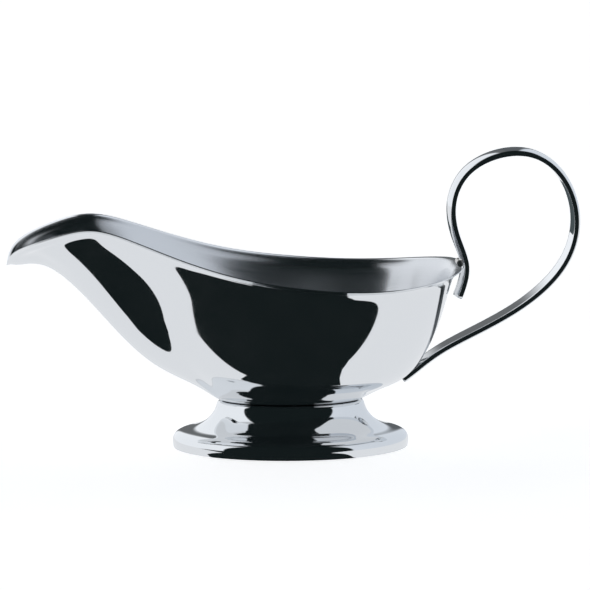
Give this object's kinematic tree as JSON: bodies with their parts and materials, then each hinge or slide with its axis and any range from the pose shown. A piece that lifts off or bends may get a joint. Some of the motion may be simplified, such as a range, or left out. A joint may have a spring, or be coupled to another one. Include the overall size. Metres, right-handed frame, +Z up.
{
  "type": "gravy boat",
  "caption": "Sheet metal gravy boat with a long drooping pouring spout, a flared rim, a flared oval pedestal foot and a looped strap handle welded at the back.",
  "frame": {"origin": "middle of the length and of the width, on the surface that the foot stands on", "axes": "+Z up, the spout points to -X and the handle to +X, and the plane Y = 0 is the plane of symmetry"},
  "size_m": [0.2107, 0.0898, 0.1101],
  "materials": {
    "polished_steel": "mirror polished outside, lengthwise satin brushing inside the bowl",
    "weld_metal": "dressed weld bead, satin"
  },
  "bodies": {
    "root": {"bowl": "polished_steel", "foot": "polished_steel", "handle": "polished_steel", "foot_spot_welds": "weld_metal", "handle_spot_welds": "weld_metal", "handle_rim_beads": "weld_metal"}
  },
  "joints": []
}
